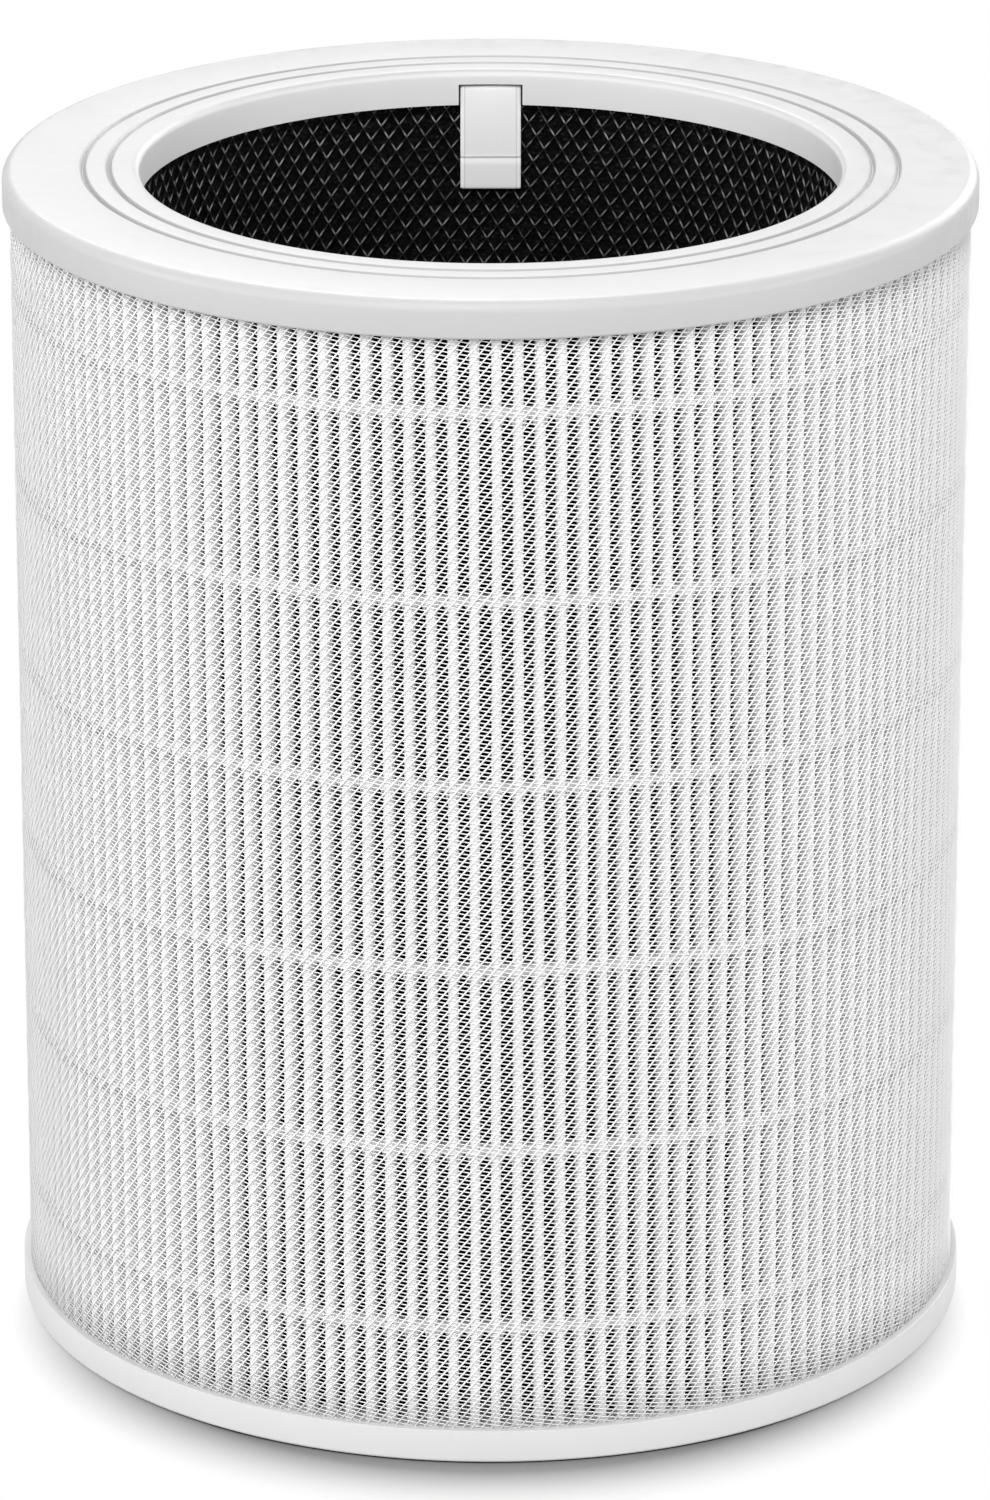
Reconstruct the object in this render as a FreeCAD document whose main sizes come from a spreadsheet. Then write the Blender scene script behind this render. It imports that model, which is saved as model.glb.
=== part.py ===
import FreeCAD, Part
import Sketcher
import math
import os

# Round air filter cartridge, in millimetres.
# The axis is Z, the base stands on Z = 0 and the pull strap hangs on the +Y side of the bore.

doc = FreeCAD.newDocument("filter_cartridge")
sheet = doc.addObject("Spreadsheet::Sheet", "sizes")

DRIVING_SIZES = {
    "overall_height": 320,
    "cap_diameter": 260,
    "bore_diameter": 187,
    "top_cap_depth": 9.9,
    "bottom_cap_depth": 9.1,
    "rim_round": 3,
    "lip_round": 2,
    "foot_chamfer": 0.8,
    "outer_groove_diameter": 216.9,
    "inner_groove_diameter": 203.2,
    "groove_width": 1.6,
    "groove_depth": 1.2,
    "pleat_count": 142,
    "pleat_width": 2.6,
    "paper_thickness": 0.5,
    "fold_tip_diameter": 255.4,
    "fold_root_diameter": 205.8,
    "first_tip_angle": -89.33,
    "tip_clearance": 0.02,
    "joint_depth": 15,
    "glue_line_count": 6,
    "glue_line_spacing": 50.5,
    "lowest_glue_line": 37.2,
    "glue_line_width": 2.3,
    "glue_line_thickness": 0.2,
    "net_sides": 32,
    "outer_net_thickness": 0.3,
    "steep_strands": 12,
    "steep_angle": 50.6,
    "steep_width": 2.2,
    "flat_strands": 1,
    "flat_angle": 9.1,
    "flat_width": 1.6,
    "carbon_outer_diameter": 205,
    "carbon_inner_diameter": 193,
    "inner_net_thickness": 0.5,
    "inner_steep_strands": 6,
    "inner_steep_angle": 60,
    "inner_flat_strands": 3,
    "inner_flat_angle": 50,
    "inner_strand_width": 1.8,
    "strap_width": 16.8,
    "strap_thickness": 0.7,
    "strap_setback": 0.4,
    "strap_end_height": 285.8,
    "hem_height": 9.4,
    "strap_tail_length": 12,
    "strap_pocket_width": 17.6,
    "strap_pocket_height": 5.6,
}

for row, (alias, value) in enumerate(DRIVING_SIZES.items(), start=1):
    sheet.set(f"A{row}", alias)
    sheet.set(f"B{row}", str(value))
    sheet.setAlias(f"B{row}", alias)
doc.recompute()


def size(name):
    """A driving size from the sheet, in millimetres or degrees."""
    return float(sheet.get(name))


def plane(body, role):
    """One of the body's own origin planes or axes."""
    return next(item for item in body.Origin.OriginFeatures if item.Role == role)


def new_body(name, height=None):
    """An empty body, raised to a height above the base that is given as an expression."""
    body = doc.addObject("PartDesign::Body", name)
    body.Label = name
    if height:
        body.setExpression("Placement.Base.z", height)
    return body


def new_sketch(body, name, role):
    sketch = body.newObject("Sketcher::SketchObject", name)
    sketch.AttachmentSupport = [(plane(body, role), "")]
    sketch.MapMode = "FlatFace"
    return sketch


def bind(sketch, constraint, expression):
    """Adds a dimension and ties it to an expression."""
    index = sketch.addConstraint(constraint)
    sketch.setExpression(f"Constraints[{index}]", expression)


def add_outline(sketch, corners):
    """A closed outline of straight lines, each corner a pair of expressions."""
    values = [[float(sketch.evalExpression(text)) for text in corner] for corner in corners]
    points = [FreeCAD.Vector(x, y, 0) for x, y in values]
    first = sketch.GeometryCount
    count = len(points)
    for i in range(count):
        sketch.addGeometry(Part.LineSegment(points[i], points[(i + 1) % count]), False)
    for i in range(count):
        sketch.addConstraint(Sketcher.Constraint("Coincident", first + i, 2, first + (i + 1) % count, 1))
    for i, (across, up) in enumerate(corners):
        bind(sketch, Sketcher.Constraint("DistanceX", -1, 1, first + i, 1, points[i].x), across)
        bind(sketch, Sketcher.Constraint("DistanceY", -1, 1, first + i, 1, points[i].y), up)


# The least that a cut takes off its body, in cubic millimetres.
LEAST_CUT = 1


def cut_away(before, after):
    """Stops the build where a cut has taken nothing off the body."""
    doc.recompute()
    if after.Shape.Volume > before.Shape.Volume - LEAST_CUT:
        raise RuntimeError(f"{after.Name} removes nothing")
    return after


# Top cap: a cast ring turned from one outline, with a rounded rim and lip and two fine grooves.

RIM_STEPS = 2
LIP_STEPS = 2


def arc_corners(across, up, radius, first, last, steps):
    """Points along an arc about the centre (across, up), from the first to the last angle in degrees."""
    angles = [first + (last - first) * step / steps for step in range(steps + 1)]
    return [(f"{across} + {radius} * cos({angle} deg)", f"{up} + {radius} * sin({angle} deg)")
            for angle in angles]


def groove_corners(centre, top):
    """A narrow V in the top face."""
    half = "sizes.groove_width / 2"
    return [
        (f"{centre} - {half}", top),
        (centre, f"{top} - sizes.groove_depth"),
        (f"{centre} + {half}", top),
    ]


def top_cap():
    body = new_body("top_cap", "sizes.overall_height - sizes.top_cap_depth")
    bore = "sizes.bore_diameter / 2"
    rim = "sizes.cap_diameter / 2"
    top = "sizes.top_cap_depth"
    corners = [(rim, "0"), (bore, "0")]
    corners += arc_corners(f"{bore} + sizes.lip_round", f"{top} - sizes.lip_round", "sizes.lip_round",
                           180, 90, LIP_STEPS)
    corners += groove_corners("sizes.inner_groove_diameter / 2", top)
    corners += groove_corners("sizes.outer_groove_diameter / 2", top)
    corners += arc_corners(f"{rim} - sizes.rim_round", f"{top} - sizes.rim_round", "sizes.rim_round",
                           90, 0, RIM_STEPS)
    ring = turned_ring(body, corners)
    strap_pocket(body, ring)


def turned_ring(body, corners):
    """A full turn of an outline about the axis."""
    sketch = new_sketch(body, body.Name + "_outline", "XZ_Plane")
    add_outline(sketch, corners)
    ring = body.newObject("PartDesign::Revolution", body.Name + "_ring")
    ring.Profile = (sketch, [""])
    ring.ReferenceAxis = (plane(body, "Z_Axis"), [""])
    ring.Angle = 360
    doc.recompute()
    return ring


def strap_pocket(body, before):
    """A shallow pocket under the collar on the +Y side, and the slot that holds the strap's tail."""
    pocket = side_pocket(body, before, "pocket", "sizes.strap_pocket_width", "0",
                         "sizes.bore_diameter / 2 + sizes.strap_setback + sizes.strap_thickness")
    side_pocket(body, pocket, "tail_slot", "sizes.strap_width",
                "sizes.strap_pocket_height - sizes.strap_thickness",
                "sizes.bore_diameter / 2 + sizes.strap_setback + sizes.strap_tail_length")


def side_pocket(body, before, name, width, floor, reach):
    """A square cut from the axis towards +Y, as far as the reach."""
    sketch = new_sketch(body, name + "_outline", "XZ_Plane")
    ceiling = "sizes.strap_pocket_height"
    add_outline(sketch, [
        (f"-{width} / 2", floor),
        (f"{width} / 2", floor),
        (f"{width} / 2", ceiling),
        (f"-{width} / 2", ceiling),
    ])
    pocket = body.newObject("PartDesign::Pocket", name)
    pocket.Profile = (sketch, [""])
    pocket.setExpression("Length", reach)
    return cut_away(before, pocket)


# Bottom cap: a plain cast ring whose outer foot edge is broken.

def bottom_cap():
    body = new_body("bottom_cap")
    bore = "sizes.bore_diameter / 2"
    rim = "sizes.cap_diameter / 2"
    turned_ring(body, [
        (bore, "0"),
        (f"{rim} - sizes.foot_chamfer", "0"),
        (rim, "sizes.foot_chamfer"),
        (rim, "sizes.bottom_cap_depth"),
        (bore, "sizes.bottom_cap_depth"),
    ])


# Pleated media: one paper fold with square shoulders, repeated round the axis.

PACK_HEIGHT = "sizes.overall_height - sizes.top_cap_depth - sizes.bottom_cap_depth"
HALF_PITCH = "(180 deg / sizes.pleat_count)"


def fold_corners():
    """One fold of the paper about +X, from the middle of one valley to the middle of the next.

    The valley floor runs square to the line through its own middle, so that neighbours meet in one plane.
    """
    root = "(sizes.fold_root_diameter / 2)"
    floor = "(sizes.fold_root_diameter / 2 + sizes.paper_thickness)"
    tip = "(sizes.fold_tip_diameter / 2)"
    outside = "(sizes.pleat_width / 2)"
    inside = "(sizes.pleat_width / 2 - sizes.paper_thickness)"

    def on_floor(radius, across):
        return (f"({radius} - {across} * sin({HALF_PITCH})) / cos({HALF_PITCH})", across)

    outer_side = [
        (f"{floor} * cos({HALF_PITCH})", f"{floor} * sin({HALF_PITCH})"),
        on_floor(floor, outside),
        (tip, outside),
    ]
    inner_side = [
        (f"{tip} - sizes.paper_thickness", inside),
        on_floor(root, inside),
        (f"{root} * cos({HALF_PITCH})", f"{root} * sin({HALF_PITCH})"),
    ]

    def mirrored(corners):
        return [(along, f"-{across}") for along, across in reversed(corners)]

    return outer_side + mirrored(outer_side) + mirrored(inner_side) + inner_side


def pleated_media():
    body = new_body("pleated_media", "sizes.bottom_cap_depth")
    sketch = new_sketch(body, "one_fold", "XY_Plane")
    add_outline(sketch, fold_corners())
    fold = body.newObject("PartDesign::Pad", "fold")
    fold.Profile = (sketch, [""])
    fold.setExpression("Length", PACK_HEIGHT)
    doc.recompute()
    folds = body.newObject("PartDesign::PolarPattern", "folds")
    folds.Originals = [fold]
    folds.Axis = (plane(body, "Z_Axis"), [""])
    folds.Angle = 360
    folds.setExpression("Occurrences", "sizes.pleat_count")
    body.Tip = folds
    body.setExpression("Placement.Rotation.Angle", "sizes.first_tip_angle * 1 deg")


# Joint: the strip of adhesive that closes the pleated sleeve, inside the fold that faces the strap.

def media_joint():
    body = new_body("media_joint", "sizes.bottom_cap_depth")
    sketch = new_sketch(body, "joint_outline", "XY_Plane")
    tip = "sizes.fold_tip_diameter / 2 - sizes.paper_thickness"
    side = "(sizes.pleat_width / 2 - sizes.paper_thickness)"
    add_outline(sketch, [
        (f"{tip} - sizes.joint_depth", f"-{side}"),
        (tip, f"-{side}"),
        (tip, side),
        (f"{tip} - sizes.joint_depth", side),
    ])
    strip = body.newObject("PartDesign::Pad", "joint_strip")
    strip.Profile = (sketch, [""])
    strip.setExpression("Length", PACK_HEIGHT)
    body.setExpression("Placement.Rotation.Angle", "sizes.first_tip_angle * 1 deg + 180 deg")


# Sleeves: many-sided rings, because what is drawn over the folds runs straight from tip to tip.

FLAT_FACTOR = "cos(180 deg / sizes.net_sides)"


def sided_ring(name, outer, inner, height, base):
    """A ring with flat sides. The outer and inner sizes are expressions, from the axis to a flat."""
    prisms = []
    for part, reach in (("_outside", outer), ("_inside", inner)):
        prism = doc.addObject("Part::Prism", name + part)
        prism.setExpression("Polygon", "sizes.net_sides")
        prism.setExpression("Circumradius", f"({reach}) / {FLAT_FACTOR}")
        prism.setExpression("Height", height)
        prism.setExpression("Placement.Base.z", base)
        prisms.append(prism)
    ring = doc.addObject("Part::Cut", name)
    ring.Base = prisms[0]
    ring.Tool = prisms[1]
    ring.Label = name
    return ring


# Glue lines: the strings of adhesive across the fold tips, numbered from the top.

TIP_REACH = "sizes.fold_tip_diameter / 2 + sizes.tip_clearance"


def glue_lines():
    count = int(size("glue_line_count"))
    for number in range(1, count + 1):
        level = f"sizes.lowest_glue_line + {count - number} * sizes.glue_line_spacing"
        sided_ring(f"glue_line_{number}", f"{TIP_REACH} + sizes.glue_line_thickness", TIP_REACH,
                   "sizes.glue_line_width", f"{level} - sizes.glue_line_width / 2")


# Nets: a sleeve with the gaps between two crossing families of slanting strands cut out.

# A gap's tool runs between these shares of the sleeve's radius.
TOOL_NEAR = 0.75
TOOL_FAR = 1.05
# A gap that reaches less than this far past a sleeve's end is left out.
LEAST_GAP = 0.5


def gap_corners(i, j, steep, flat):
    """One gap on the unrolled sleeve, as pairs of distance round it and height.

    The steep sides have a point halfway too, because a long side bends round the sleeve.
    """
    corners = []
    for steep_side, flat_side in ((0, 0), (1, 0), (1, 0.5), (1, 1), (0, 1), (0, 0.5)):
        start = steep["pitch"] * (i + steep_side) + steep["half_width"] * (1 - 2 * steep_side)
        level = flat["pitch"] * (j + flat_side) + flat["half_width"] * (1 - 2 * flat_side)
        along = (steep["rise"] * start + level) / (steep["rise"] + flat["fall"])
        corners.append((along, steep["rise"] * (along - start)))
    return corners


def gap_tool(corners, radius):
    """A prism through the sleeve with the gap's outline, square to the sleeve at the gap's middle."""
    middle = sum(along for along, _ in corners) / len(corners) / radius
    near = radius * TOOL_NEAR
    points = [FreeCAD.Vector(near, radius * math.sin(along / radius - middle), height)
              for along, height in corners]
    face = Part.Face(Part.makePolygon(points + points[:1]))
    tool = face.extrude(FreeCAD.Vector(radius * TOOL_FAR - near, 0, 0))
    tool.rotate(FreeCAD.Vector(), FreeCAD.Vector(0, 0, 1), math.degrees(middle))
    return tool


def net_gaps(name, radius, steep, flat, height, base):
    """All gaps of a net, from just under the sleeve to just over it."""
    tools = []
    levels = math.ceil(height * (1 + flat["fall"] / steep["rise"]) / flat["pitch"])
    for i in range(steep["count"]):
        for j in range(-1, flat["count"] + levels + 1):
            corners = gap_corners(i, j, steep, flat)
            lowest = min(up for _, up in corners)
            highest = max(up for _, up in corners)
            if highest > LEAST_GAP and lowest < height - LEAST_GAP:
                tools.append(gap_tool(corners, radius))
    gaps = doc.addObject("Part::Feature", name + "_gaps")
    gaps.Shape = Part.makeCompound(tools)
    gaps.Placement = FreeCAD.Placement(FreeCAD.Vector(0, 0, base), FreeCAD.Rotation())
    return gaps


def cut_net(name, outer, inner, steep_count, steep_angle, steep_width, flat_count, flat_angle, flat_width):
    """A net sleeve. The strands' spacing is worked out so that both families close on themselves."""
    height = size("overall_height") - size("top_cap_depth") - size("bottom_cap_depth")
    base = size("bottom_cap_depth")
    sleeve = sided_ring(name + "_sleeve", outer, inner, PACK_HEIGHT, "sizes.bottom_cap_depth")
    doc.recompute()
    radius = sleeve.Shape.BoundBox.XMax
    girth = 2 * math.pi * radius
    rise = math.tan(math.radians(steep_angle))
    slope = math.radians(flat_angle)
    steep = {
        "count": steep_count,
        "pitch": girth / steep_count,
        "rise": rise,
        "half_width": steep_width / 2 / math.sin(math.radians(steep_angle)),
    }
    flat = {
        "count": flat_count,
        "pitch": girth * math.tan(slope) / flat_count,
        "fall": math.tan(slope),
        "half_width": flat_width / 2 / math.cos(slope),
    }
    net = doc.addObject("Part::Cut", name)
    net.Base = sleeve
    net.Tool = net_gaps(name, radius, steep, flat, height, base)
    net.Label = name


def outer_net():
    inner = f"{TIP_REACH} + sizes.glue_line_thickness"
    cut_net("outer_net", f"{inner} + sizes.outer_net_thickness", inner,
            int(size("steep_strands")), size("steep_angle"), size("steep_width"),
            int(size("flat_strands")), size("flat_angle"), size("flat_width"))


def inner_net():
    outer = f"sizes.carbon_inner_diameter / 2 * {FLAT_FACTOR}"
    cut_net("inner_net", outer, f"{outer} - sizes.inner_net_thickness",
            int(size("inner_steep_strands")), size("inner_steep_angle"), size("inner_strand_width"),
            int(size("inner_flat_strands")), size("inner_flat_angle"), size("inner_strand_width"))


# Carbon layer: a plain sleeve between the folds and the inner net.

def carbon_layer():
    sided_ring("carbon_layer", f"sizes.carbon_outer_diameter / 2 * {FLAT_FACTOR}",
               f"sizes.carbon_inner_diameter / 2 * {FLAT_FACTOR}", PACK_HEIGHT, "sizes.bottom_cap_depth")


# Pull strap: a flat band whose tail is set in the cap and whose free end is folded over.

FOLD_STEPS = 4
BEND_STEPS = 3


def pull_strap():
    body = new_body("pull_strap")
    sketch = new_sketch(body, "strap_outline", "YZ_Plane")
    face = "(sizes.bore_diameter / 2 + sizes.strap_setback)"
    back = f"({face} + sizes.strap_thickness)"
    hem_face = f"({face} - sizes.strap_thickness)"
    thickness = "sizes.strap_thickness"
    hem_top = "(sizes.strap_end_height + sizes.hem_height)"
    top = "(sizes.overall_height - sizes.top_cap_depth + sizes.strap_pocket_height)"
    tail = f"({face} + sizes.strap_tail_length)"
    corners = [
        (back, f"{top} - {thickness}"),
        (tail, f"{top} - {thickness}"),
        (tail, top),
    ]
    corners += arc_corners(back, f"{top} - {thickness}", thickness, 90, 180, BEND_STEPS)
    corners += [(face, hem_top), (hem_face, hem_top)]
    corners += arc_corners(face, f"sizes.strap_end_height + {thickness}", thickness, 180, 360, FOLD_STEPS)
    add_outline(sketch, corners)
    strap = body.newObject("PartDesign::Pad", "strap")
    strap.Profile = (sketch, [""])
    strap.Midplane = True
    strap.setExpression("Length", "sizes.strap_width")


def build():
    top_cap()
    bottom_cap()
    pleated_media()
    media_joint()
    glue_lines()
    outer_net()
    inner_net()
    carbon_layer()
    pull_strap()
    doc.recompute()


def kept_nodes():
    names = ["top_cap", "bottom_cap", "pleated_media", "media_joint", "outer_net", "inner_net"]
    names += ["carbon_layer", "pull_strap"]
    names += [f"glue_line_{number}" for number in range(1, int(size("glue_line_count")) + 1)]
    return names


def write_steps():
    for item in doc.Objects:
        if "Invalid" in item.State or "Error" in item.State:
            raise RuntimeError(f"{item.Name} is {item.State}")
    os.makedirs("parts", exist_ok=True)
    for name in kept_nodes():
        shape = doc.getObject(name).Shape
        if shape.isNull() or not shape.isValid():
            raise RuntimeError(f"{name} has no valid shape")
        shape.exportStep(f"parts/{name}.step")
        print(name, len(shape.Solids), "solid", len(shape.Faces), "faces", round(shape.Volume / 1000, 2), "cm3")


build()
write_steps()
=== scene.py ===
import math
import bpy
import numpy as np
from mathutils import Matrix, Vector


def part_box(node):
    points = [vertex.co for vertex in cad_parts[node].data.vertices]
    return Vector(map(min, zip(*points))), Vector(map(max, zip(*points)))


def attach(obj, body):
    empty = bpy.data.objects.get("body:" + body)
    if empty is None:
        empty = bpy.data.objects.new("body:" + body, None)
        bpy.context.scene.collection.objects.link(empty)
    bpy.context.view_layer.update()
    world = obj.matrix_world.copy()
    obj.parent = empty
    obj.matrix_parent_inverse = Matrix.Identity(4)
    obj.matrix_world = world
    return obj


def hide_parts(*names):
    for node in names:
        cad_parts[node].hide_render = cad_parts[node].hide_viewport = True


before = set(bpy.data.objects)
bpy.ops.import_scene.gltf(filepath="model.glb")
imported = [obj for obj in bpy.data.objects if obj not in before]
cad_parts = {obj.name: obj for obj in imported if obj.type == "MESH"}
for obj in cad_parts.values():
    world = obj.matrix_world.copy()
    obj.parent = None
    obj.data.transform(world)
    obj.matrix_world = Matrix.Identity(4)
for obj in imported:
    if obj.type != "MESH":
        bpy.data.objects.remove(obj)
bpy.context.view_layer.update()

# Lengths of shapes are in millimetres and turned to metres where a mesh is made. Those in a finish or in
# the studio are in metres.
# Angles round the cartridge are in degrees from +X, so the strap's side is at 90 and the camera's at -90.
toMetres = 0.001
turn = 2 * math.pi


def boxOf(node):
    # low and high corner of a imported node, in millimetres
    low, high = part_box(node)
    return np.array(low) / toMetres, np.array(high) / toMetres


topCapLow, topCapHigh = boxOf("top_cap")
packLow = boxOf("bottom_cap")[1][2]     # the folds and nets run between the two caps' inner faces
packHigh = topCapLow[2]


# Mesh making

def makePiece(name, points, faces, material, replaced):
    # points is an array of (x, y, z) in millimetres, faces an (m, 4) array of corner numbers
    points = points.reshape(-1, 3)
    mesh = bpy.data.meshes.new(name)
    mesh.vertices.add(len(points))
    mesh.vertices.foreach_set("co", (points * toMetres).astype(np.float32).ravel())
    mesh.loops.add(faces.size)
    mesh.loops.foreach_set("vertex_index", faces.astype(np.int32).ravel())
    mesh.polygons.add(len(faces))
    mesh.polygons.foreach_set("loop_start", np.arange(len(faces), dtype=np.int32) * faces.shape[1])
    mesh.polygons.foreach_set("use_smooth", np.full(len(faces), True))
    mesh.update(calc_edges=True)
    mesh.materials.append(material)
    piece = bpy.data.objects.new(name, mesh)
    bpy.context.scene.collection.objects.link(piece)
    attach(piece, "root")
    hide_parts(*replaced)
    return piece


def gridFaces(rows, columns, closeRows=False, closeColumns=False):
    # four corners per cell of a grid whose points are stored row by row
    i = np.arange(rows if closeRows else rows - 1)
    j = np.arange(columns if closeColumns else columns - 1)
    i, j = np.meshgrid(i, j, indexing="ij")
    row, nextRow = i * columns, (i + 1) % rows * columns
    nextColumn = (j + 1) % columns
    return np.stack([row + j, nextRow + j, nextRow + nextColumn, row + nextColumn], axis=-1).reshape(-1, 4)


def aroundAxis(radius, angle, height):
    # a point at a radius, an angle in radians and a height
    radius, angle, height = np.broadcast_arrays(radius, angle, height)
    return np.stack([radius * np.cos(angle), radius * np.sin(angle), height], axis=-1)


def roundedOutline(corners, steps):
    # corners are (radius, height, rounding); each corner becomes an arc tangent to its two sides:
    # the arc starts and ends rounding / tan(half the corner's angle) from the corner
    points = []
    for k, (x, y, rounding) in enumerate(corners):
        corner = np.array([x, y])
        if not rounding:
            points.append(corner[None])
            continue
        before = np.array(corners[k - 1][:2]) - corner
        after = np.array(corners[(k + 1) % len(corners)][:2]) - corner
        before /= np.linalg.norm(before)
        after /= np.linalg.norm(after)
        half = math.acos(np.clip(before @ after, -1, 1)) / 2
        middle = (before + after) / np.linalg.norm(before + after)
        centre = corner + middle * rounding / math.sin(half)
        start = corner + before * rounding / math.tan(half) - centre
        end = corner + after * rounding / math.tan(half) - centre
        share = np.linspace(0, 1, steps + 1)[:, None]
        arc = start * (1 - share) + end * share
        arc *= rounding / np.linalg.norm(arc, axis=1, keepdims=True)
        points.append(centre + arc)
    return np.concatenate(points)


# Materials: each is a small node tree round one Principled shader. In the dictionaries, noise is given by
# its scale and detail, bumps by their strength and depth, a grain by all four, and a span or tone by the
# low and high value it reads and what it makes of them

class Finish:
    def __init__(self, name, specular, roughness=0.5):
        self.material = bpy.data.materials.new(name)
        self.material.use_nodes = True
        self.tree = self.material.node_tree
        self.shader = self.tree.nodes["Principled BSDF"]
        self.shader.inputs["Roughness"].default_value = roughness
        self.shader.inputs["Specular IOR Level"].default_value = specular
        self.coordinates = self.add("ShaderNodeTexCoord").outputs["Object"]

    def add(self, kind, **values):
        node = self.tree.nodes.new(kind)
        for key, value in values.items():
            setattr(node, key, value)
        return node

    def join(self, output, socket):
        self.tree.links.new(output, socket)

    def stretched(self, scale):
        # the object's coordinates times a scale along each axis
        mapping = self.add("ShaderNodeMapping")
        mapping.inputs["Scale"].default_value = scale
        self.join(self.coordinates, mapping.inputs["Vector"])
        return mapping.outputs["Vector"]

    def noise(self, scale, detail, vector=None):
        node = self.add("ShaderNodeTexNoise")
        node.inputs["Scale"].default_value = scale
        node.inputs["Detail"].default_value = detail
        self.join(vector or self.coordinates, node.inputs["Vector"])
        return node.outputs["Fac"]

    def cells(self, scale):
        node = self.add("ShaderNodeTexVoronoi")
        node.inputs["Scale"].default_value = scale
        self.join(self.coordinates, node.inputs["Vector"])
        return node

    def span(self, value, low, high, first, last):
        # a value from low to high becomes one from first to last
        node = self.add("ShaderNodeMapRange")
        self.join(value, node.inputs["Value"])
        for socket, number in zip(("From Min", "From Max", "To Min", "To Max"), (low, high, first, last)):
            node.inputs[socket].default_value = number
        return node.outputs["Result"]

    def blendColor(self, share, first, second):
        node = self.add("ShaderNodeMix", data_type="RGBA")
        self.join(share, node.inputs["Factor"])
        node.inputs["A"].default_value = (*first, 1)
        node.inputs["B"].default_value = (*second, 1)
        return node.outputs["Result"]

    def paint(self, output):
        self.join(output, self.shader.inputs["Base Color"])

    def roughen(self, output):
        self.join(output, self.shader.inputs["Roughness"])

    def bump(self, value, strength, distance):
        node = self.add("ShaderNodeBump")
        node.inputs["Strength"].default_value = strength
        node.inputs["Distance"].default_value = distance
        self.join(value, node.inputs["Height"])
        previous = self.shader.inputs["Normal"]
        if previous.is_linked:
            self.join(previous.links[0].from_socket, node.inputs["Normal"])
        self.join(node.outputs["Normal"], self.shader.inputs["Normal"])

    def grain(self, scale, detail, strength, distance, vector=None):
        # bumps from noise
        self.bump(self.noise(scale, detail, vector), strength, distance)

    def part(self, axis):
        # one of the object's coordinates, in metres
        node = self.add("ShaderNodeSeparateXYZ")
        self.join(self.coordinates, node.inputs["Vector"])
        return node.outputs[axis]

    def figure(self, operation, first, second=None):
        # one step of arithmetic on a value, with a number or another value
        node = self.add("ShaderNodeMath", operation=operation)
        self.join(first, node.inputs[0])
        if isinstance(second, float):
            node.inputs[1].default_value = second
        elif second:
            self.join(second, node.inputs[1])
        return node.outputs["Value"]

    def tone(self, value, low, high, first, last):
        # the colour so far times a factor that goes from first, at the low value, to last at the high one
        node = self.add("ShaderNodeVectorMath", operation="SCALE")
        self.join(self.shader.inputs["Base Color"].links[0].from_socket, node.inputs[0])
        self.join(self.span(value, low, high, first, last), node.inputs["Scale"])
        self.paint(node.outputs["Vector"])

    def radius(self):
        # distance from the cartridge's axis, in metres
        flat = self.stretched((1, 1, 0))
        node = self.add("ShaderNodeVectorMath", operation="LENGTH")
        self.join(flat, node.inputs[0])
        return node.outputs["Value"]


def gray(value):
    return (value, value, value)


# Caps: both are cast from one white resin, given two whites as painted light and shade: the top cap's is
# darker than the foot cap's

cast = {
    "specular": 0.3,
    "clouds": (35, 4),
    "cloudTint": 0.015,
    "patches": (180, 2),
    "patchRoughness": (0.3, 0.7, 0.36, 0.5),
    "grain": (2600, 3, 0.12, 0.0002),
}


def castWhite(name, white):
    # a soft satin with a very fine mould grain, faint clouding and patches of unlike gloss
    finish = Finish(name, cast["specular"])
    clouds = finish.noise(*cast["clouds"])
    finish.paint(finish.blendColor(clouds, gray(white - cast["cloudTint"]), gray(white + cast["cloudTint"])))
    finish.roughen(finish.span(finish.noise(*cast["patches"]), *cast["patchRoughness"]))
    finish.grain(*cast["grain"])
    return finish


# Top cap: an outline turned about the axis, with the strap's pocket pushed into the bore wall

topCap = {
    "outerRadius": 130.0,
    "boreRadius": 93.5,
    "rimRound": 3.0,
    "lipRound": 2.0,
    "footRound": 0.7,
    "grooveRadii": (101.6, 108.45),
    "grooveHalf": 0.9,
    "grooveDepth": 1.2,
    "grooveEdgeRound": 0.12,
    "grooveBottomRound": 0.3,
    "arcSteps": 6,
    "pocketHalf": 8.8,
    "pocketTop": 5.6,
    "pocketBack": 94.65,
    "slotHalf": 8.42,
    "slotHeight": 0.75,
    "slotBack": 105.95,
    "columns": 300,
    # rows this far from an edge, and columns this angle from one, keep its corner crisp
    "crisp": 0.08,
    "crispest": 0.005,
    "crispAngles": (-0.0008, -0.00003, 0.00003, 0.0008),
    "wallMargin": 0.5,
    # painted shade: a darker white than the foot cap's, against the strong light on the cap's top
    "white": 0.508,
    # painted light on the bore wall, painted shade on the rim's side and in the grooves: the first two read
    # the radius, the third the distance from a groove's middle
    "borePaintedLight": (0.0936, 0.0944, 1.44, 1),
    "rimPaintedShade": (0.1284, 0.1299, 1, 0.96),
    "groovePaintedShade": (0.0005, 0.0014, 0.78, 1),
    # the painted shade in the strap's pocket and in a thin band just above it, and the box and radius that
    # hold it
    "pocketPaintedShade": 0.1,
    "shadeHalf": 0.00885,
    "shadeFront": 0.09,
    "shadeTop": 0.31595,
    "shadeRadius": 0.1,
}


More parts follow.
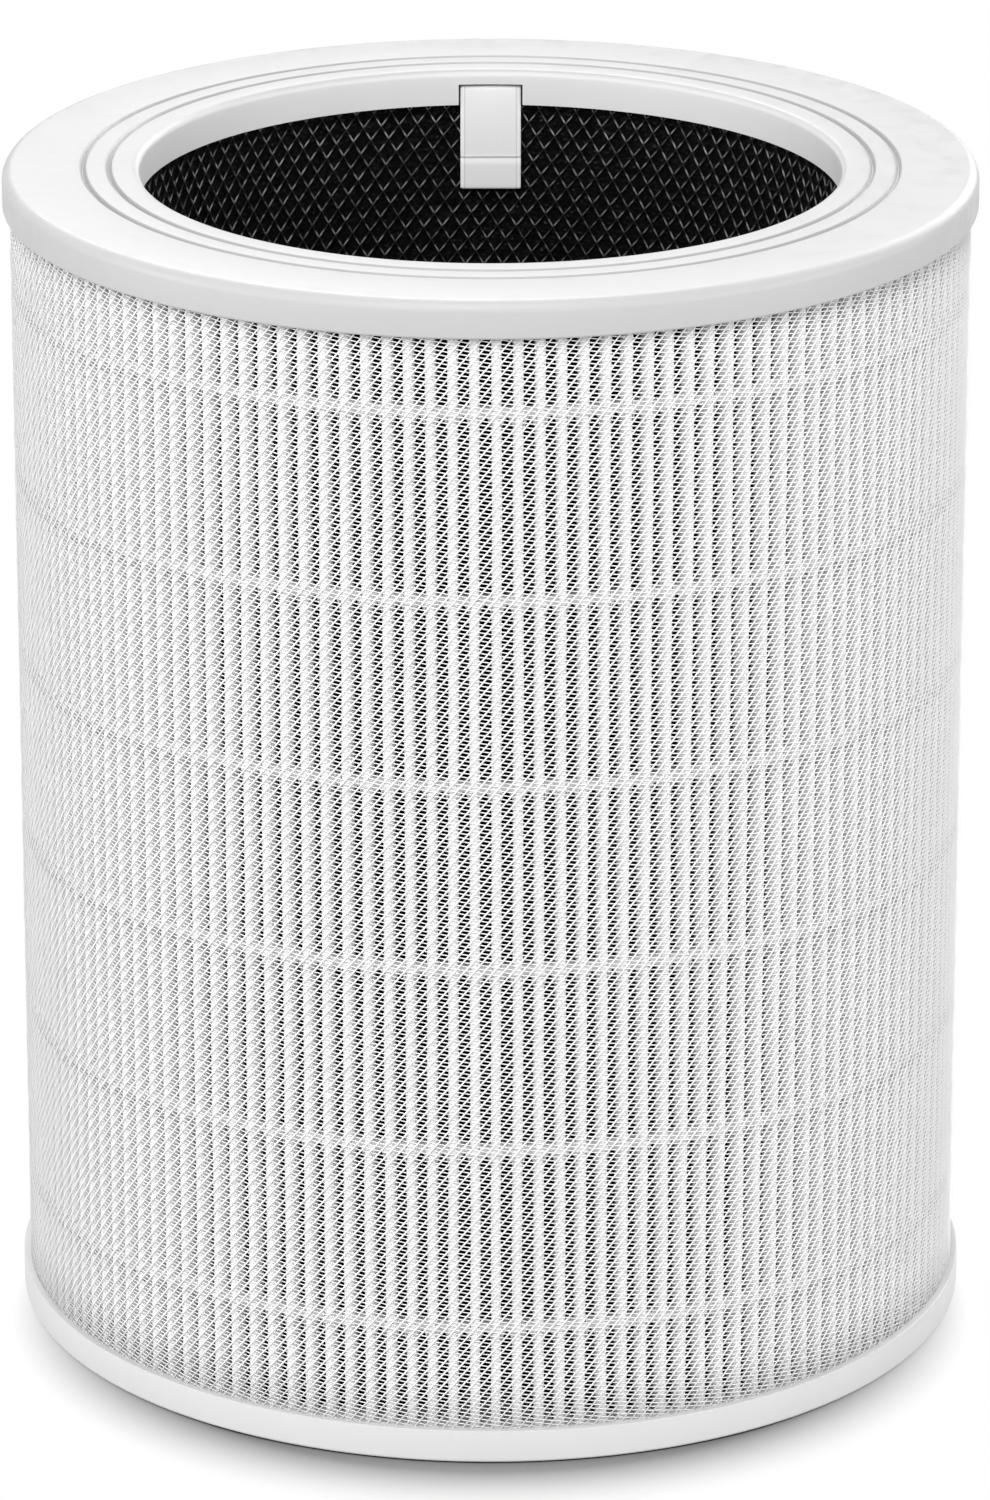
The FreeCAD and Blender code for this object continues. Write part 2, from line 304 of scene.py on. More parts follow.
def topCapCast():
    # painted light on the bore wall, and painted shade on the rim's side, in the grooves and round the strap
    finish = castWhite("topCapWhite", topCap["white"])
    radius = finish.radius()
    # painted light: the bore wall is made lighter
    finish.tone(radius, *topCap["borePaintedLight"])
    # painted shade: the rim's side is made a little darker
    finish.tone(radius, *topCap["rimPaintedShade"])
    # painted shade in each groove, darkest at its middle
    for centre in topCap["grooveRadii"]:
        away = finish.figure("ABSOLUTE", finish.figure("SUBTRACT", radius, centre * toMetres))
        finish.tone(away, *topCap["groovePaintedShade"])
    # painted shade: the pocket's walls and a thin band above the strap are darkened
    near = finish.figure("LESS_THAN", finish.figure("ABSOLUTE", finish.part("X")), topCap["shadeHalf"])
    behind = finish.figure("GREATER_THAN", finish.part("Y"), topCap["shadeFront"])
    inside = finish.figure("LESS_THAN", radius, topCap["shadeRadius"])
    under = finish.figure("LESS_THAN", finish.part("Z"), topCap["shadeTop"])
    pocket = finish.figure("MULTIPLY", near, behind)
    for limit in (inside, under):
        pocket = finish.figure("MULTIPLY", pocket, limit)
    finish.tone(pocket, 0, 1, 1, topCap["pocketPaintedShade"])
    return finish.material


def turnedSurface(outline, angles):
    # a point of the outline (radius, height) carried round to each angle
    return aroundAxis(outline[:, None, 0], angles[None, :], outline[:, None, 1])


def makeTopCap():
    bore, rim = topCap["boreRadius"], topCap["outerRadius"]
    low, high = packHigh, topCapHigh[2]
    corners = [(bore, high, topCap["lipRound"])]
    for centre in topCap["grooveRadii"]:
        half = topCap["grooveHalf"]
        edge, bottom = topCap["grooveEdgeRound"], topCap["grooveBottomRound"]
        corners += [(centre - half, high, edge), (centre, high - topCap["grooveDepth"], bottom),
                    (centre + half, high, edge)]
    corners += [(rim, high, topCap["rimRound"]), (rim, low, topCap["footRound"])]
    crisp, crispest = topCap["crisp"], topCap["crispest"]
    corners += [(bore + crisp, low, 0), (bore, low, 0), (bore, low + crisp, 0)]
    ceiling = low + topCap["pocketTop"]
    slotFloor = ceiling - topCap["slotHeight"]
    for level in (slotFloor, ceiling):
        corners += [(bore, level + gap, 0) for gap in (-crisp, -crispest, crispest, crisp)]
    outline = roundedOutline(corners, topCap["arcSteps"])

    pocketAngle = math.asin(topCap["pocketHalf"] / bore)
    slotAngle = math.asin(topCap["slotHalf"] / bore)
    even = np.linspace(0, turn, topCap["columns"], endpoint=False)
    sides = [math.pi / 2 + side * (angle + nudge) for side in (-1, 1) for angle in (pocketAngle, slotAngle)
             for nudge in topCap["crispAngles"]]
    angles = np.sort(np.concatenate([even, sides]))
    points = turnedSurface(outline, angles)

    # the pocket: bore wall points below its ceiling and between its sides move back to a flat wall,
    # and those in the slot move further
    x, y, z = points[..., 0], points[..., 1], points[..., 2]
    onWall = np.hypot(x, y) < bore + topCap["wallMargin"]
    inPocket = onWall & (y > 0) & (np.abs(x) < topCap["pocketHalf"]) & (z < ceiling)
    inSlot = inPocket & (np.abs(x) < topCap["slotHalf"]) & (z > slotFloor)
    y[inPocket] = topCap["pocketBack"]
    y[inSlot] = topCap["slotBack"]
    faces = gridFaces(*points.shape[:2], closeRows=True, closeColumns=True)
    return makePiece("topCapShell", points, faces, topCapCast(), ["top_cap"])


makeTopCap()


# Bottom cap: a plain turned ring with soft edges

footCap = {
    "outerRadius": 130.0,
    "boreRadius": 93.5,
    "topRound": 0.3,
    "footRound": 0.9,
    "arcSteps": 5,
    "columns": 300,
    # painted light: a lighter white than the top cap's, though both caps are one resin
    "white": 0.66,
    "ledgePaintedShade": (0.0087, 0.0091, 1, 0.85),   # reads the height
}


def footCapCast():
    # painted shade: the ledge round the foot of the net is made darker
    finish = castWhite("footCapWhite", footCap["white"])
    # painted shade above the ledge's height
    finish.tone(finish.part("Z"), *footCap["ledgePaintedShade"])
    return finish.material


def makeFootCap():
    bore, rim = footCap["boreRadius"], footCap["outerRadius"]
    upper, lower = footCap["topRound"], footCap["footRound"]
    corners = [(bore, packLow, upper), (rim, packLow, upper), (rim, 0, lower), (bore, 0, lower)]
    outline = roundedOutline(corners, footCap["arcSteps"])
    angles = np.linspace(0, turn, footCap["columns"], endpoint=False)
    points = turnedSurface(outline, angles)
    faces = gridFaces(*points.shape[:2], closeRows=True, closeColumns=True)
    return makePiece("footCapShell", points, faces, footCapCast(), ["bottom_cap"])


makeFootCap()
print("caps made")


# Pleated paper: round-tipped folds, one closed sheet

folds = {
    "count": 142,
    "firstTip": -89.33,
    "tipRadius": 127.65,
    "rootRadius": 103.4,
    "width": 2.55,
    "tipRound": 1.0,
    "paper": 0.5,
    "levels": 25,
    "tipSteps": 11,
    "valleySteps": 4,
    "glueLines": 6,
    "waver": 0.16,
    "slowWave": 61,
    "fastWave": 17,
    "fastShare": 0.5,
    "seed": 7,
    "specular": 0.15,
    "roughness": 0.95,
    "fibres": (900, 4),
    "fibreStretch": (1, 1, 0.35),
    "fibreRelief": (0.35, 0.0003),
    "tints": ((0.83, 0.83, 0.83), (0.88, 0.88, 0.875)),
    # the painted shade in the folds: its tint, and the radii where it starts and where it is full
    "paintedShadeTint": (0.01, 0.01, 0.01),
    "shadeFrom": 0.1248,
    "shadeTo": 0.1231,
}
glueNodes = [boxOf(f"glue_line_{k}") for k in range(1, folds["glueLines"] + 1)]
glueLevels = np.array([(low[2] + high[2]) / 2 for low, high in glueNodes])
foldPitch = turn / folds["count"]
foldAngles = math.radians(folds["firstTip"]) + foldPitch * np.arange(folds["count"])


def foldPaper():
    # filter paper: white at the fold tips, with painted shade that turns near black down in the folds, and a
    # grain of fibres drawn out along the folds
    finish = Finish("foldPaper", folds["specular"], folds["roughness"])
    fibres = finish.noise(*folds["fibres"], finish.stretched(folds["fibreStretch"]))
    mix = finish.add("ShaderNodeMix", data_type="RGBA")
    # painted shade: the deeper into the folds, the darker the paper
    depth = finish.span(finish.radius(), folds["shadeFrom"], folds["shadeTo"], 0, 1)
    finish.join(depth, mix.inputs["Factor"])
    finish.join(finish.blendColor(fibres, *folds["tints"]), mix.inputs["A"])
    mix.inputs["B"].default_value = (*folds["paintedShadeTint"], 1)
    finish.paint(mix.outputs["Result"])
    finish.bump(fibres, *folds["fibreRelief"])
    return finish.material


def foldOutline(inset):
    # one fold as (distance along its own centre line, offset across it), from valley to valley:
    # a half ellipse over the tip, straight sides, and a quarter ellipse into the valley at each end. The
    # inset is how far under the paper's outer face it lies
    tip, root = folds["tipRadius"] - inset, folds["rootRadius"] - inset
    width, rounding = folds["width"] - 2 * inset, folds["tipRound"] - inset
    phi = np.linspace(math.pi / 2, -math.pi / 2, folds["tipSteps"])
    tipPart = np.stack([tip - rounding + rounding * np.cos(phi), -width / 2 * np.sin(phi)], axis=1)
    valleyHalf = root * math.tan(foldPitch / 2)
    gap = valleyHalf - width / 2
    psi = np.linspace(0, math.pi / 2, folds["valleySteps"])
    into = np.stack([root + gap * (1 - np.cos(psi)), -valleyHalf + gap * np.sin(psi)], axis=1)
    out = into[::-1] * np.array([1, -1])
    return np.concatenate([into, tipPart, out[:-1]])


def foldWaver(heights):
    # each fold leans a little between the glue lines: two sine waves of random phase, held to nothing at
    # each glue line by the sine of the height over the lines' spacing
    rng = np.random.default_rng(folds["seed"])
    phases = rng.uniform(0, turn, (folds["count"], 2))
    spacing = glueLevels[0] - glueLevels[1]
    held = np.abs(np.sin(math.pi * (heights - glueLevels[-1]) / spacing))
    slow = np.sin(heights[None] / folds["slowWave"] + phases[:, :1])
    fast = folds["fastShare"] * np.sin(heights[None] / folds["fastWave"] + phases[:, 1:])
    return folds["waver"] * held[None] * (slow + fast)


def sheetSide(outline, heights, lean):
    # the outline carried up the folds: radius along each fold's own line, offset across it plus its lean,
    # the lean growing from nothing at the root to all of it at the tip
    share = np.clip((outline[:, 0] - folds["rootRadius"]) / (folds["tipRadius"] - folds["rootRadius"]), 0, 1)
    along = outline[None, None, :, 0]
    across = outline[None, None, :, 1] + lean.T[:, :, None] * share[None, None, :]
    angle = foldAngles[None, :, None]
    x = along * np.cos(angle) - across * np.sin(angle)
    y = along * np.sin(angle) + across * np.cos(angle)
    z = np.broadcast_to(heights[:, None, None], x.shape)
    return np.stack([x, y, z], axis=-1).reshape(len(heights), -1, 3)


def makeFolds():
    heights = np.linspace(packLow, packHigh, folds["levels"])
    outer, inner = foldOutline(0), foldOutline(folds["paper"])
    lean = foldWaver(heights)
    outside = sheetSide(outer, heights, lean)
    inside = sheetSide(inner, heights[[0, -1]], lean[:, [0, -1]])
    # rows: outside from the bottom up, then inside from the top down, closed on each other at both ends
    points = np.concatenate([outside, inside[::-1]])
    faces = gridFaces(*points.shape[:2], closeRows=True, closeColumns=True)[:, ::-1]
    return makePiece("foldedPaper", points, faces, foldPaper(), ["pleated_media"])


makeFolds()
print("folds made")


# Glue lines: a string over each fold tip that fills every valley with a small arch

glue = {
    "reach": 127.76,
    "valleyReach": 126.2,
    "apex": 119.0,
    "halfHeight": 1.15,
    "tipHalfHeight": 0.85,
    "archDrop": 2.4,
    "archPower": 1.4,
    "topRise": 0.9,
    "tipSamples": 5,
    "tipSpread": 0.985,
    "tipGap": 0.02,
    "valleySamples": 11,
    "sizes": (0.85, 1.15),
    "shifts": (-0.15, 0.15),
    # (share of the way in from the outer face, share of the height) for each point of the section
    "section": ((0, -0.75), (0, 0), (0, 0.75), (0.06, 1), (0.3, 0.75), (0.7, 0.4), (1, 0), (0.7, -0.4),
                (0.3, -0.75), (0.06, -1)),
    "specular": 0.4,
    "roughness": 0.5,
    "milk": (400, 2),
    "tints": ((0.66, 0.66, 0.66), (0.72, 0.72, 0.715)),
    "lumps": (700, 2, 0.25, 0.0003),
}


def hotMelt():
    # glue: smooth, milky and a little glossy, with small lumps
    finish = Finish("hotMelt", glue["specular"], glue["roughness"])
    finish.paint(finish.blendColor(finish.noise(*glue["milk"]), *glue["tints"]))
    finish.grain(*glue["lumps"])
    return finish.material


hotMeltFinish = hotMelt()


def glueColumns():
    # samples round one pitch: first over the tip, then across the valley.
    # Gives the angle from the tip, the inner radius of the string, the share of the way from mid valley to a
    # fold, and 1 in the valley or 0 over the tip
    tip, width, rounding = folds["tipRadius"], folds["width"], folds["tipRound"]
    overTip = np.linspace(-glue["tipSpread"], glue["tipSpread"], glue["tipSamples"])
    tipOffset = overTip * width / 2
    tipInner = tip - rounding + rounding * np.sqrt(1 - overTip ** 2) + glue["tipGap"]
    tipAngle = np.arcsin(tipOffset / glue["reach"])
    across = np.linspace(-1, 1, glue["valleySamples"])
    first = math.asin(width / 2 / glue["reach"])
    valleyAngle = foldPitch / 2 + across * (foldPitch / 2 - first)
    angle = np.concatenate([tipAngle, valleyAngle])
    inner = np.concatenate([tipInner, np.full(len(across), glue["apex"])])
    share = np.concatenate([np.ones(len(overTip)), np.abs(across)])
    inValley = np.concatenate([np.zeros(len(overTip)), np.ones(len(across))])
    return angle, inner, share, inValley


def makeGlueLine(number, level):
    # section at each sample: an outer face, a top that slopes in to the apex and an arched underside.
    # The underside drops by the share across the valley to a power, so it is highest in mid valley
    angle, inner, share, inValley = glueColumns()
    rng = np.random.default_rng(number)
    size = rng.uniform(*glue["sizes"], folds["count"])[:, None]
    shift = rng.uniform(*glue["shifts"], folds["count"])[:, None]
    face = np.where(inValley > 0, glue["reach"] - (glue["reach"] - glue["valleyReach"]) * (1 - share ** 2),
                    glue["reach"])
    top = np.where(inValley > 0, glue["halfHeight"] + glue["topRise"] * share ** 2, glue["tipHalfHeight"])
    drop = np.where(inValley > 0, glue["halfHeight"] + glue["archDrop"] * share ** glue["archPower"],
                    glue["tipHalfHeight"])
    section = np.array(glue["section"])
    inward, upward = section[:, 0][:, None, None], section[:, 1][:, None, None]
    tips = foldAngles[None, :, None]
    radius = face + (inner - face) * inward + 0 * tips
    lift = np.where(upward > 0, top, drop) * upward * size[None] + shift[None] * inValley
    points = aroundAxis(radius, tips + angle, level + lift)
    points = points.reshape(len(section), -1, 3)
    faces = gridFaces(*points.shape[:2], closeRows=True, closeColumns=True)[:, ::-1]
    return makePiece(f"glueLine{number}", points, faces, hotMeltFinish, [f"glue_line_{number}"])


for number, level in enumerate(glueLevels, start=1):
    makeGlueLine(number, level)
print("glue lines made")


# Nets: families of slanting strands round a cylinder

# A family's slope is in degrees from level, and its radius is the middle of its strands
outerNet = {
    "steep": {"count": 320, "angle": 50.6, "radius": 128.16,
              "width": 0.48, "thick": 0.2, "sides": 6, "steps": 24},
    "flat": {"count": 116, "angle": -9.1, "radius": 127.98,
             "width": 0.34, "thick": 0.18, "sides": 4, "steps": 150},
    "specular": 0.4,
    "roughness": 0.45,
    "cloud": (220, 3),
    "tints": ((0.88, 0.88, 0.88), (0.92, 0.92, 0.92)),
    "grain": (1500, 2, 0.15, 0.0002),
}
innerNet = {
    "steep": {"count": 116, "angle": 60.0, "radius": 95.6,
              "width": 0.48, "thick": 0.45, "sides": 6, "steps": 24},
    "flat": {"count": 116, "angle": -51.0, "radius": 95.95,
             "width": 0.46, "thick": 0.42, "sides": 6, "steps": 34},
    "specular": 0.45,
    "patches": (300, 2),
    "paintedGlintNear": (0.5, 0.95, 0, 1),
    "paintedGlintPatch": (0.37, 0.64, 0.18, 1),
    # black, and the grey of the painted glints
    "tints": ((0.002, 0.002, 0.002), (0.27, 0.27, 0.27)),
    "roughness": (0.8, 0.3),
    "grain": (1800, 2, 0.2, 0.0002),
}


def netWhite():
    # extruded strands: clean white, slightly glossy, with a fine grain
    finish = Finish("netWhite", outerNet["specular"], outerNet["roughness"])
    finish.paint(finish.blendColor(finish.noise(*outerNet["cloud"]), *outerNet["tints"]))
    finish.grain(*outerNet["grain"])
    return finish.material


def crossingRise():
    # height in metres from one ring of the inner net's crossings to the next: the strands' pitch over the
    # sum of their slopes' cotangents
    steep, flat = innerNet["steep"], innerNet["flat"]
    pitch = turn * steep["radius"] / steep["count"]
    slopes = [abs(math.tan(math.radians(family["angle"]))) for family in (steep, flat)]
    return pitch / (1 / slopes[0] + 1 / slopes[1]) * toMetres


def netBlack():
    # black strands with painted glints halfway between two crossings, where woven strands that dip under
    # each other would catch the light; these strands run straight. The crossings lie on level rings, so a
    # sine of the height tells how far off they are
    finish = Finish("netBlack", innerNet["specular"])
    climb = finish.figure("SUBTRACT", finish.part("Z"), packLow * toMetres)
    wave = finish.figure("SINE", finish.figure("MULTIPLY", climb, math.pi / crossingRise()))
    between = finish.span(finish.figure("ABSOLUTE", wave), *innerNet["paintedGlintNear"])
    patches = finish.span(finish.noise(*innerNet["patches"]), *innerNet["paintedGlintPatch"])
    glint = finish.figure("MULTIPLY", between, patches)
    # painted glints: the colour goes from black to grey where the glint is strong
    finish.paint(finish.blendColor(glint, *innerNet["tints"]))
    finish.roughen(finish.span(glint, 0, 1, *innerNet["roughness"]))
    finish.grain(*innerNet["grain"])
    return finish.material


def strandFamily(family):
    # each strand climbs from the bottom cap to the top cap while its angle grows by
    # height / (tan(slope) x radius). Its section is an ellipse, one half axis radial and the other square
    # to the strand in the wall
    slope = math.radians(family["angle"])
    radius = family["radius"]
    heights = np.linspace(packLow, packHigh, family["steps"] + 1)
    start = turn / family["count"] * np.arange(family["count"])
    angle = start[:, None] + (heights - packLow)[None] / (math.tan(slope) * radius)
    sides = np.linspace(0, turn, family["sides"], endpoint=False)
    outward = family["thick"] / 2 * np.cos(sides)
    sideways = family["width"] / 2 * np.sin(sides)
    level = np.clip(heights[None, :, None] + math.cos(slope) * sideways, packLow, packHigh)
    return aroundAxis(radius + outward, angle[..., None] - math.sin(slope) * sideways / radius, level)


def strandFaces(count, steps, sides):
    # the tube's sides, then one or two quads to close each end
    one = gridFaces(steps, sides, closeColumns=True)
    last = (steps - 1) * sides
    ends = [[0, 1, 2, 3], [3 + last, 2 + last, 1 + last, last]]
    if sides == 6:
        ends += [[0, 3, 4, 5], [5 + last, 4 + last, 3 + last, last]]
    one = np.concatenate([one, np.array(ends)])
    offset = np.arange(count)[:, None, None] * steps * sides
    return (one[None] + offset).reshape(-1, 4)


def makeStrands(name, family, finish, node):
    # strands that lean the other way round have their faces turned, so that they still look outward
    points = strandFamily(family)
    faces = strandFaces(*points.shape[:3])
    if family["angle"] < 0:
        faces = faces[:, ::-1]
    return makePiece(name, points, faces, finish, [node])


netWhiteFinish, netBlackFinish = netWhite(), netBlack()
makeStrands("outerNetSteepStrands", outerNet["steep"], netWhiteFinish, "outer_net")
makeStrands("outerNetFlatStrands", outerNet["flat"], netWhiteFinish, "outer_net")
makeStrands("innerNetSteepStrands", innerNet["steep"], netBlackFinish, "inner_net")
makeStrands("innerNetFlatStrands", innerNet["flat"], netBlackFinish, "inner_net")
print("nets made")


# Carbon layer: crushed grains that bulge from the inner wall

carbon = {
    "innerRadius": 97.0,
    "outerRadius": 102.4,
    "grain": 1.9,
    "bulge": 0.75,
    "jitter": (0.15, 0.85),
    "heights": (0.35, 1.0),
    "domeReach": 0.55,
    "domePower": 0.6,
    "rowShare": 0.999,
    "columns": 420,
    "rows": 190,
    "seed": 3,
    "specular": 0.1,
    "facets": 900,
    "tintSpan": (0.2, 0.95, 0, 1),
    "tints": ((0.001, 0.001, 0.001), (0.006, 0.006, 0.006)),
    "roughnessSpan": (0.55, 0.9, 0.85, 0.22),
    "facetRelief": (0.8, 0.0006),
}


def carbonGrain():
    # crushed carbon: near black, dull between the grains, with small facets that glint
    finish = Finish("carbonGrain", carbon["specular"])
    facets = finish.cells(carbon["facets"]).outputs
    finish.paint(finish.blendColor(finish.span(facets["Color"], *carbon["tintSpan"]), *carbon["tints"]))
    finish.roughen(finish.span(facets["Color"], *carbon["roughnessSpan"]))
    finish.bump(facets["Distance"], *carbon["facetRelief"])
    return finish.material


def grainHeight(across, up, columns, rows, rng):
    # distance to the nearest grain centre on a jittered grid, in grain widths, turned into a low dome whose
    # height differs from grain to grain; the grid wraps round the cylinder
    centres = rng.uniform(*carbon["jitter"], (rows, columns, 2))
    heights = rng.uniform(*carbon["heights"], (rows, columns))
    column = np.floor(across).astype(int)
    row = np.floor(up).astype(int)
    best = np.zeros(across.shape)
    for dr in (-1, 0, 1):
        for dc in (-1, 0, 1):
            r = np.clip(row + dr, 0, rows - 1)
            c = (column + dc) % columns
            dx = column + dc + centres[r, c, 0] - across
            dy = row + dr + centres[r, c, 1] - up
            near = np.clip(1 - (dx ** 2 + dy ** 2) / carbon["domeReach"], 0, None)
            best = np.maximum(best, heights[r, c] * near ** carbon["domePower"])
    return best


def makeCarbon():
    # inner wall with grains, then a plain outer wall, closed at both ends
    girth = turn * carbon["innerRadius"]
    columns = int(girth / carbon["grain"])
    rows = int((packHigh - packLow) / carbon["grain"])
    angles = np.linspace(0, turn, carbon["columns"], endpoint=False)
    heights = np.linspace(packLow, packHigh, carbon["rows"])
    climb = (heights - packLow) / (packHigh - packLow) * rows * carbon["rowShare"]
    across, up = np.meshgrid(angles / turn * columns, climb)
    rng = np.random.default_rng(carbon["seed"])
    bulge = carbon["bulge"] * grainHeight(across, up, columns, rows, rng)
    inner = aroundAxis(carbon["innerRadius"] - bulge, angles[None, :], heights[:, None])
    outer = aroundAxis(carbon["outerRadius"], angles[None, :], heights[[-1, 0]][:, None])
    points = np.concatenate([inner, outer])
    faces = gridFaces(*points.shape[:2], closeRows=True, closeColumns=True)
    return makePiece("carbonWall", points, faces, carbonGrain(), ["carbon_layer"])


makeCarbon()
print("carbon made")


# Pull strap: a flat woven band, its tail set in the cap and its free end folded over

strap = {
    "width": 16.8,
    "thick": 0.66,
    "layer": 0.7,
    "middle": 94.25,
    "endHeight": 285.8,
    "hem": 9.4,
    "bend": 1.2,
    "tail": 105.6,
    "selvedge": 0.05,
    "pressed": 1.8,
    "pressedShare": 0.25,
    "hemSteps": 12,
    "foldSteps": 9,
    "bandSteps": 20,
    "bendSteps": 7,
    "tailSteps": 6,
    "columns": 31,
    "edgeShare": 0.999,
    "edgePower": 14,
    "ridgeAt": 0.9,
    "ridgeWidth": 0.05,
    "specular": 0.3,
    "roughness": 0.6,
    "sheen": 0.2,
    "ribScale": 700,
    "ribDistortion": 0.6,
    "ribRelief": (0.15, 0.00005),
    "tints": ((0.92, 0.92, 0.92), (0.97, 0.97, 0.97)),
    "edgeLineAt": 0.0072,
    # these read the distance from the fine line inside each edge and from the band's middle
    "edgeLineTone": (0.0001, 0.00025, 0.82, 1),
    "edgeTone": (0.0073, 0.0076, 0.95, 1.05),
    "threads": (1600, 3, 0.3, 0.0001),
    "threadStretch": (1, 1, 0.1),
}


def ribbonWhite():
    # woven band: fine cross ribs and long threads, with a soft sheen
    finish = Finish("ribbonWhite", strap["specular"], strap["roughness"])
    finish.shader.inputs["Sheen Weight"].default_value = strap["sheen"]
    ribs = finish.add("ShaderNodeTexWave", bands_direction="Z")
    ribs.inputs["Scale"].default_value = strap["ribScale"]
    ribs.inputs["Distortion"].default_value = strap["ribDistortion"]
    finish.join(finish.coordinates, ribs.inputs["Vector"])
    finish.paint(finish.blendColor(ribs.outputs["Fac"], *strap["tints"]))
    # near each edge: a fine darker line, then paler out to the edge
    side = finish.figure("ABSOLUTE", finish.part("X"))
    away = finish.figure("ABSOLUTE", finish.figure("SUBTRACT", side, strap["edgeLineAt"]))
    finish.tone(away, *strap["edgeLineTone"])
    finish.tone(side, *strap["edgeTone"])
    finish.bump(ribs.outputs["Fac"], *strap["ribRelief"])
    finish.grain(*strap["threads"], finish.stretched(strap["threadStretch"]))
    return finish.material


def strapPath():
    # the band's centre line as (distance from the axis, height): down the hem, round its fold,
    # up the band, round the bend and out along the tail
    fold = strap["layer"] / 2
    front, back = strap["middle"] - strap["layer"], strap["middle"]
    half = strap["thick"] / 2
    low, top = strap["endHeight"] + fold + half, packHigh + topCap["pocketTop"] - half
    hemTop = strap["endHeight"] + strap["hem"]
    turnDown = np.linspace(math.pi, turn, strap["foldSteps"])[1:-1]
    around = np.stack([back - fold + fold * np.cos(turnDown), low + fold * np.sin(turnDown)], axis=1)
    over = np.linspace(math.pi, math.pi / 2, strap["bendSteps"])[1:-1]
    bend = strap["bend"]
    across = np.stack([back + bend + bend * np.cos(over), top - bend + bend * np.sin(over)], axis=1)
    hemSteps, bandSteps, tailSteps = strap["hemSteps"], strap["bandSteps"], strap["tailSteps"]
    down = np.stack([np.full(hemSteps, front), np.linspace(hemTop, low, hemSteps)], axis=1)
    up = np.stack([np.full(bandSteps, back), np.linspace(low, top - bend, bandSteps)], axis=1)
    out = np.stack([np.linspace(back + bend, strap["tail"], tailSteps), np.full(tailSteps, top)], axis=1)
    return np.concatenate([down, around, up, across, out])


def makeStrap():
    # the section is a flat oval: its half thickness is the band's times the root of 1 less a high power of
    # the offset, with a slight ridge just inside each edge, where a woven band is thicker.
    # It is carried along the centre line, square to it, and closed at both ends
    path = strapPath()
    along = np.gradient(path, axis=0)
    along /= np.linalg.norm(along, axis=1, keepdims=True)
    square = np.stack([-along[:, 1], along[:, 0]], axis=1)
    across = np.sin(np.linspace(-math.pi / 2, math.pi / 2, strap["columns"])) * strap["edgeShare"]
    ridge = strap["selvedge"] * np.exp(-((np.abs(across) - strap["ridgeAt"]) / strap["ridgeWidth"]) ** 2)
    edge = np.clip(1 - np.abs(across) ** strap["edgePower"], 0, 1)
    half = strap["thick"] / 2 * np.sqrt(edge) * (1 + ridge)
    x = np.concatenate([across, across[::-1]]) * strap["width"] / 2
    offset = np.concatenate([half, -half[::-1]])
    # the free end of the hem is pressed thinner over its last few rows, against the band behind it
    run = np.concatenate([[0], np.cumsum(np.linalg.norm(np.diff(path, axis=0), axis=1))])
    thin = np.interp(run, [0, strap["pressed"]], [strap["pressedShare"], 1])
    path = path + np.array([1, 0]) * (1 - thin)[:, None] * strap["thick"] / 2
    place = path[:, None, :] + square[:, None, :] * offset[None, :, None] * thin[:, None, None]
    body = np.concatenate([np.broadcast_to(x, place.shape[:2])[..., None], place], axis=-1)
    rows, columns = body.shape[:2]
    faces = [gridFaces(rows, columns, closeColumns=True)]
    # each end: quads from one face's points to the other's
    k = np.arange(strap["columns"] - 1)
    ends = np.stack([k, k + 1, columns - k - 2, columns - k - 1], axis=1)
    faces += [ends[:, ::-1], ends + (rows - 1) * columns]
    piece = makePiece("pullBand", body, np.concatenate(faces), ribbonWhite(), ["pull_strap"])
    return piece


makeStrap()
print("strap made")


# The adhesive strip inside the last fold is hidden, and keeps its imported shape

def dressNode(node, finish):
    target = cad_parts[node]
    target.data.materials.clear()
    target.data.materials.append(finish)


dressNode("media_joint", hotMeltFinish)


# Studio: a pale floor, a soft sky and a ring of large lamps

studio = {
    "floorSize": 30,
    "floorSpecular": 0.1,
    "floorRoughness": 0.9,
    "floorHeight": -0.0001,
    "coveredRadius": 0.12,
    "floorSeen": 0.84,
    "contactReach": 0.045,
    "contactDepth": 2.5,
    "contactSamples": 16,
    "floorBounce": 0.42,
    "skyStrength": 0.15,
    # the painted shadow's centre on the floor, in front of the part
    "paintedShadowCentre": (0, -0.028, 0),
    "whiteFrom": 0.1072,
    "whiteTo": 0.132,
    "lampDistance": 3.2,
    "lampSize": 1.8,
    "aim": (0, 0, 0.16),
    # azimuth from the camera's side towards +X and elevation in degrees, power in watts
    "lamps": [
        {"name": "frontLeft", "azimuth": -20, "elevation": 35, "power": 38},
        {"name": "frontHigh", "azimuth": 0, "elevation": 60, "power": 46},
        {"name": "frontRight", "azimuth": 20, "elevation": 12, "power": 14},
        {"name": "sideLeft", "azimuth": -85, "elevation": 12, "power": 34},
        {"name": "left", "azimuth": -58, "elevation": 12, "power": 25},
        {"name": "right", "azimuth": 58, "elevation": 12, "power": 28},
        {"name": "sideRight", "azimuth": 85, "elevation": 12, "power": 25},
        {"name": "backRight", "azimuth": 150, "elevation": 25, "power": 53},
        {"name": "backHigh", "azimuth": 190, "elevation": 42, "power": 62},
    ],
}


